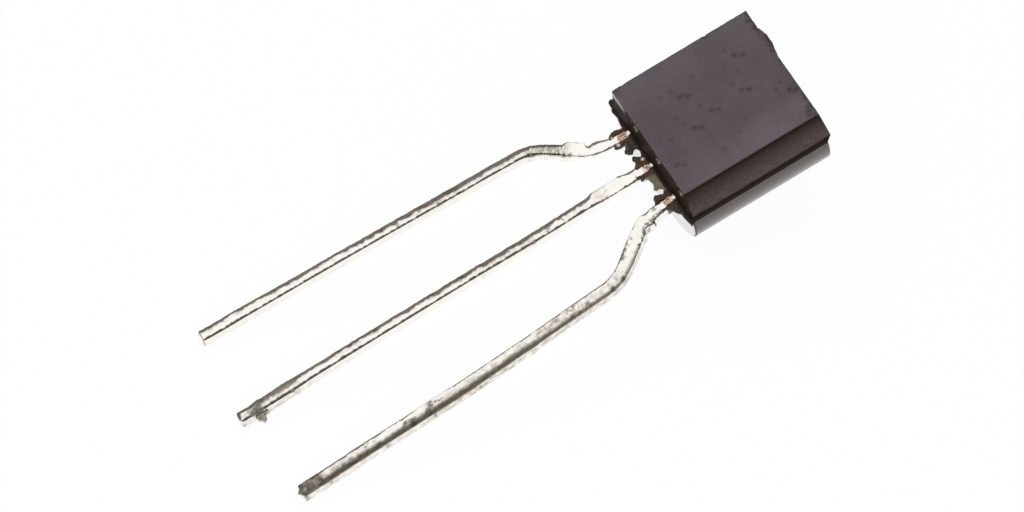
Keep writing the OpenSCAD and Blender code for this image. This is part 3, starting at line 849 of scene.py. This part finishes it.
def add_tip(rings, outs, own, ahead, peak):
    """Rounds off a lead's cut tip, which comes to a point by about peak."""
    tip, own_tip = rings[-1], own[-1]
    middle, own_middle = tip.mean(0), own_tip.mean(0)
    across, height = abs(own_tip[:, :1]) / own_tip[:, 0].max(), own_tip[:, 2:] / LEAD_T
    point_out = peak * (0.6 - across + 0.8 * height)

    def add_ring(size, shift, own_shift):
        rings.append(middle + (tip - middle) * size + ahead * shift)
        own.append(own_middle + (own_tip - own_middle) * size + own_shift * np.array([0, 1, 0]))
        outs.append(np.tile(ahead, (len(tip), 1)))

    for angle in np.radians((20, 40, 60, 80)):
        shift = TIP_R * sin(angle) + point_out
        add_ring(1 - 2 * TIP_R * (1 - cos(angle)) / LEAD_T, shift, shift)
    add_ring(0.4, TIP_R + 0.4 * point_out, 0)


def add_lead(shape, path, radii, rows, marks, peak, number):
    """Sweeps the section along a lead, whose number makes its roughness its own."""
    seed = 20 + number
    centre, heading = spaced(lead_line(path, radii))
    distance = (np.arange(len(centre)) - np.argmin(abs(centre[:, 1]))) * RING_STEP
    at, *sizes = np.array(rows).T
    left, right, lean, arris = (np.interp(distance, at, size) for size in sizes)
    wobble = wavering(distance, seed, 0.25, seed)
    jitter = wavering(distance, seed, 0.09, seed + 7)
    lean = np.maximum(lean * (1 + 0.25 * wobble) + 0.07 * jitter, 0.01)
    arris = np.maximum(arris * (1 - 0.3 * wobble) + 0.04 * jitter, 0.015)
    rings, outs, own = [], [], []
    for i, (here, ahead) in enumerate(zip(centre, heading)):
        section, out = lead_section(left[i], right[i], lean[i], arris[i])
        rightward = np.array([-ahead[1], ahead[0]])
        rings.append(np.column_stack([here + section[:, :1] * rightward, section[:, 1]]))
        outs.append(np.column_stack([out[:, :1] * rightward, out[:, 1]]))
        own.append(np.column_stack([section[:, 0], np.full(len(section), distance[i]), section[:, 1]]))
    add_tip(rings, outs, own, np.array([*heading[-1], 0]), peak)
    points, faces = lofted(rings)
    out, own = np.concatenate(outs), np.concatenate(own)
    # The skin is roughest round the first bend
    unevenness = 0.0015 + 0.008 * np.exp(-((own[:, 1] - 1.5) / 0.9) ** 2)
    points = pushed(points, out, unevenness * rough(points, 0.12, seed))
    points = pushed(points, out, FILLET_HEIGHT * near(own, (0.03, 0, 0), FILLET_R))
    # Each lead reads the materials' noise at a place of its own
    shape.add(points, faces, 0, own + (0, 20 * seed, 0), **marks(Skin(own, number)))


class Skin:
    """Points on a lead: their distance from the case, how far across they are, and their height."""

    def __init__(self, own, number):
        self.across, self.distance, self.height = own.T
        self.number = number
        self.top = smooth_step(-0.12, -0.06, self.height)
        self.side = 1 - self.top
        self.broken = rough(own[:, [1, 0, 2]], 0.12, 10 + number)

    def along(self, low, high, soft):
        """1 between two distances from the case, fading out over soft beyond each."""
        return band(self.distance, low, high, soft)

    def blots(self, places):
        """Irregular marks at (distance, across, radius, strength) places on the top face.

        Past the top's right edge a place lies on the side face, moved on by SIDE_SLOPE.
        """
        seed = 30 + self.number
        across = self.across - SIDE_SLOPE * self.height * self.side
        here = np.column_stack([self.distance, across, np.zeros(len(across))])
        torn = 1.35 + 0.6 * rough(here, 0.08, seed)
        here[:, :2] += 0.045 * np.column_stack([rough(here, 0.09, seed + k) for k in (1, 2)])
        total = np.zeros(len(here))
        for distance, side, radius, strength in places:
            face = self.top if side < 0.2 else self.side
            blot = np.clip(torn * near(here, (distance, side, 0), radius), 0, 1)
            total = np.maximum(total, strength * blot * face)
        return total

    def left_shade(self, start):
        """Uneven painted shade along the left of the top face, past a distance from the case, where the
        sloping edge turns to the dark.
        """
        seed = 40 + self.number
        uneven = wavering(self.distance, seed, 0.3, seed)
        shade = smooth_step(0.04, -0.06, self.across - 0.05 * uneven) * np.clip(0.6 + 0.6 * uneven, 0, 1)
        return shade * self.top * (self.distance > start)

    def resin(self):
        """Resin that clings to both sides of the lead at the case."""
        out = abs(self.across) + 0.04 * self.broken
        reach = 0.14 + 0.25 * np.maximum(smooth_step(0.14, 0.17, out), self.side)
        inner = np.interp(self.distance, (0.16, 0.26), (0.03, 0.05))
        return 0.95 * band(self.distance, -1, reach, 0.1) * smooth_step(inner, inner + 0.05, out)

    def marks(self, copper_end, tarnish, hatched, stain, dark):
        """All the lead's marks. Bare copper starts past a bright blob of solder at the case."""
        return {
            "copper": band(self.distance + 0.08 * self.broken, 0.24, copper_end, 0.12) * self.top,
            "tarnish": np.clip(tarnish, 0, 1),
            "hatched": hatched,
            "stain": stain,
            "grime": np.maximum.reduce([*dark, self.resin()]),
        }


def emitter_marks(skin):
    bend = skin.along(2.15, 3.1, 0.3)
    tarnish = 0.25 + 0.75 * bend + 0.2 * skin.along(3.3, 6.8, 0.5) + 0.4 * skin.along(5.4, 6, 0.3)
    tarnish = tarnish * skin.top + 0.3 * skin.along(2.2, 20, 0.6) * skin.side
    # Painted shade along the left edge joins the tarnish
    tarnish = np.maximum(tarnish, skin.left_shade(2.2))
    end = 0.9 * band(skin.distance + 0.25 * abs(skin.across), 13.95, 13.99, 0.015)
    return skin.marks(0.42, tarnish, bend, 0.16 * bend * skin.top, [skin.blots(EMITTER_BLOTS), end])


def base_marks(skin):
    tarnish = 0.25 + 0.35 * skin.along(1.65, 2, 0.15) + 0.2 * skin.along(2.2, 4.4, 0.2)
    tarnish += 0.4 * skin.along(4.4, 5.8, 0.6)
    tarnish += 0.8 * skin.along(12.1, 14, 0.4) * smooth_step(0.1, -0.02, skin.across)
    side_tarnish = np.interp(skin.distance, (1.9, 2.4, 9, 11.8, 12.2), (0, 0.2, 0.25, 0.5, 0.75))
    # Painted shade along the left edge joins the tarnish
    tarnish = np.maximum(tarnish * skin.top + side_tarnish * skin.side, skin.left_shade(2.1))
    striped = skin.along(12.1, 13.1, 0.15) * smooth_step(0.02, -0.05, skin.across - 0.04 * skin.broken)
    end = 0.9 * band(skin.distance - 0.55 * skin.across, 13.91, 14.2, 0.03)
    end *= smooth_step(0.15, 0.07, skin.across + 0.04 * skin.broken)
    return skin.marks(
        0.3, tarnish, 0.5 * skin.along(4.4, 5.8, 0.6), 0.75 * striped * skin.top,
        [skin.blots(BASE_BLOTS), end])


def collector_marks(skin):
    distance, across, broken = skin.distance, skin.across, skin.broken
    tarnish = 0.3 + 0.45 * skin.along(3.1, 9.2, 0.4) * smooth_step(-0.3, -0.05, across)
    tarnish += 0.35 * skin.along(4.6, 5.9, 0.3) + 0.35 * skin.along(12.1, 13.4, 0.3)
    side_tarnish = np.interp(distance, (1.2, 1.6, 9.5, 10.8), (0.3, 0.9, 0.9, 0.6))
    tarnish = tarnish * skin.top + side_tarnish * skin.side

    # The brown stain covers what lies right of a wavering line, up to the top's right edge
    line = np.interp(
        distance, (2, 2.9, 3.5, 6, 8, 10.8, 12, 13), (0.17, 0.13, 0.08, 0.04, -0.01, -0.01, -0.003, -0.015))
    line += 0.03 * wavering(distance, 0, 0.4, seed=15)
    strength = np.interp(
        distance, (1.9, 2.1, 4.3, 5, 7, 10.8, 12, 13.2, 13.5), (0, 0.75, 0.84, 0.9, 0.95, 0.97, 1, 1, 0.85))
    shaded = strength * smooth_step(line - 0.07, line + 0.06, across + 0.03 * broken)
    patch_left = np.interp(distance, (9.75, 10.2, 10.4), (-0.05, -0.08, -0.14))
    patch = skin.along(9.75, 10.65, 0.06) * np.clip(0.86 + 0.3 * broken, 0, 1)
    patch *= smooth_step(patch_left, patch_left + 0.09, across + 0.05 * broken)
    tip = smooth_step(13.25, 13.45, distance + 0.15 * across + 0.05 * broken)
    tip *= np.clip(0.9 + 0.25 * broken, 0, 1)
    edge = np.interp(distance, (2.8, 3.2), (0.2, 0.165))
    stain = np.maximum.reduce([shaded, patch, tip])
    stain *= smooth_step(edge + 0.05, edge, across - SIDE_SLOPE * skin.height)
    return skin.marks(0.34, tarnish, skin.along(4.6, 5, 0.2), stain, [skin.blots(COLLECTOR_BLOTS)])


def add_inner(shape, low, high):
    """The part of a lead that widens inside the case."""
    points, faces, _ = rounded_block((*low, -LEAD_T), (*high, 0), 0.03, 0.2)
    shape.add(points, faces)


def add_burr(shape):
    """The sliver of solder, fused and roughened."""
    points, faces, out = melted([extruded(BURR, -0.26, -0.12)], STUB_GRID)
    points = pushed(points, out, 0.025 * rough(points, 0.08, seed=8))
    grime = np.clip(0.5 + 0.5 * rough(points, 0.12, seed=9), 0, 1)
    shape.add(points, faces, tarnish=1, grime=grime)


# Each lead: its node, centre line, the radii of its bends, its skin, its marks, how far its tip comes
# to a point, and two corners of what widens inside the case
LEADS = (
    ("emitter_lead", EMITTER_PATH, (KNEE_R, ELBOW_R), EMITTER_ROWS, emitter_marks, 0,
     (-PITCH - ROOT, 1.6), (-PITCH - ROOT + 0.75, 2.8)),
    ("base_lead", BASE_PATH, (KNEE_R,), BASE_ROWS, base_marks, 0, (-0.45, 0.9), (0.45, 1.6)),
    ("collector_lead", COLLECTOR_PATH, (KNEE_R, ELBOW_R, BOW_R), COLLECTOR_ROWS, collector_marks, 0.16,
     (-0.45, 2), (PITCH + ROOT, 3.6)),
)


def make_leads():
    tin = tin_material()
    pieces = []
    for number, (node, path, radii, rows, marks, peak, low, high) in enumerate(LEADS, 1):
        shape = Shape()
        add_lead(shape, path, radii, rows, marks, peak, number)
        if node == "base_lead":
            add_burr(shape)
        add_inner(shape, low, high)
        piece = shape.build(node + "_dipped", [tin])
        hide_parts(node)
        pieces.append(piece)
    return pieces


# ------------ studio


def make_world():
    """White above and below, dark towards the horizon and round the camera, for metal to reflect."""
    world = bpy.data.worlds.new("studio")
    bpy.context.scene.world = world
    nodes = Nodes(world)
    toward = nodes.add("TexCoord")["Generated"]
    height = nodes.add("SeparateXYZ", {"Vector": toward})["Z"]
    above = nodes.ramp(height, sin(radians(34)), sin(radians(48)), 0.19, 1.08)
    below = nodes.ramp(height, -0.02, 0, 1, 0)
    to_card = {0: toward, 1: direction(-25, 50)}
    facing = nodes.add("VectorMath", to_card, operation="DOT_PRODUCT")["Value"]
    card = nodes.ramp(facing, cos(radians(50)), cos(radians(38)), 1, 0.15)
    light = nodes.math("MULTIPLY_ADD", above, card, below)
    ray = nodes.add("LightPath")
    seen = nodes.math("MAXIMUM", ray["Is Camera Ray"], ray["Is Transmission Ray"])
    strength = nodes.math("MULTIPLY_ADD", light, nodes.math("SUBTRACT", 1, seen), seen)
    tint = nodes.mix(strength, (1, 0.9, 0.82), (1, 1, 1))
    background = nodes.add("Background", {"Color": tint, "Strength": strength})
    nodes.add("OutputWorld", {"Surface": background["Background"]})


def make_floor():
    """A plain white floor that shows white to the camera and to metal, and keeps a soft shadow."""
    half = 0.3
    corners = [(-half, -half, 0), (half, -half, 0), (half, half, 0), (-half, half, 0)]
    mesh = bpy.data.meshes.new("floor")
    mesh.from_pydata(corners, [], [(0, 1, 2, 3)])
    floor = in_scene("floor", mesh)
    material = bpy.data.materials.new("floor_white")
    mesh.materials.append(material)
    nodes = Nodes(material)
    ray = nodes.add("LightPath")
    seen = nodes.math("MAXIMUM", ray["Is Camera Ray"], ray["Is Glossy Ray"])
    seen = nodes.math("MAXIMUM", seen, ray["Is Transmission Ray"])
    share = nodes.math("MULTIPLY", seen, 0.96)
    strength = nodes.math("MULTIPLY_ADD", ray["Is Glossy Ray"], 0.07, 1)
    glow = nodes.add("Emission", {"Strength": strength})["Emission"]
    diffuse = nodes.add("BsdfDiffuse", {"Color": (0.9, 0.9, 0.9)})["BSDF"]
    mixed = nodes.add("MixShader", {"Fac": share, 1: diffuse, 2: glow})["Shader"]
    nodes.add("OutputMaterial", {"Surface": mixed})


def make_lamp(name, azimuth, elevation, energy):
    """A broad soft light, pointed at the part from 0.4 m away. Metal and gloss don't reflect it."""
    lamp = bpy.data.lights.new(name, "AREA")
    lamp.shape = "SQUARE"
    lamp.size = 0.35
    lamp.energy = energy
    holder = in_scene(name, lamp)
    holder.visible_glossy = False
    back = direction(azimuth, elevation)
    holder.location = back * 0.4
    holder.rotation_euler = back.to_track_quat("Z", "Y").to_euler()


def make_camera():
    """The photograph's view: the direction to the camera, its roll, and the point it looks at."""
    back = direction(VIEW_AZIMUTH, VIEW_ELEVATION)
    roll = Matrix.Rotation(radians(VIEW_ROLL), 3, back)
    right = roll @ direction(VIEW_AZIMUTH + 90, 0)
    up = back.cross(right)
    target = (VIEW_RIGHT * right + VIEW_UP * up) * MM
    lens = bpy.data.cameras.new("camera")
    lens.sensor_width = 36
    lens.lens = VIEW_DISTANCE * lens.sensor_width / VIEW_WIDTH
    camera = in_scene("camera", lens)
    turn = Matrix((right, up, back)).transposed().to_4x4()
    camera.matrix_world = Matrix.Translation(target + back * VIEW_DISTANCE * MM) @ turn
    bpy.context.scene.camera = camera


# ------------ putting it together

case_piece = make_case()
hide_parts("case")
for piece in [case_piece, *make_leads()]:
    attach(piece, "root")

GOLD = ("gold", (0.9, 0.62, 0.2), (1, 0.74, 0.33), 0.15)
HIDDEN = {
    "chip": ("silicon", (0.10, 0.10, 0.12), (0.16, 0.16, 0.19), 0.12, 0.6),
    "chip_solder": ("solder", (0.6, 0.59, 0.56), (0.74, 0.73, 0.71), 0.35),
    "base_wire": GOLD,
    "emitter_wire": GOLD,
}
for node, looks in HIDDEN.items():
    slots = frame["nodes"][node].data.materials
    slots.clear()
    slots.append(plain_metal(*looks))

make_world()
make_floor()
make_lamp("key", 172, 62, 0.5)
make_lamp("fill", -40, 35, 1.2)
make_camera()
bpy.context.scene.view_settings.view_transform = "Standard"
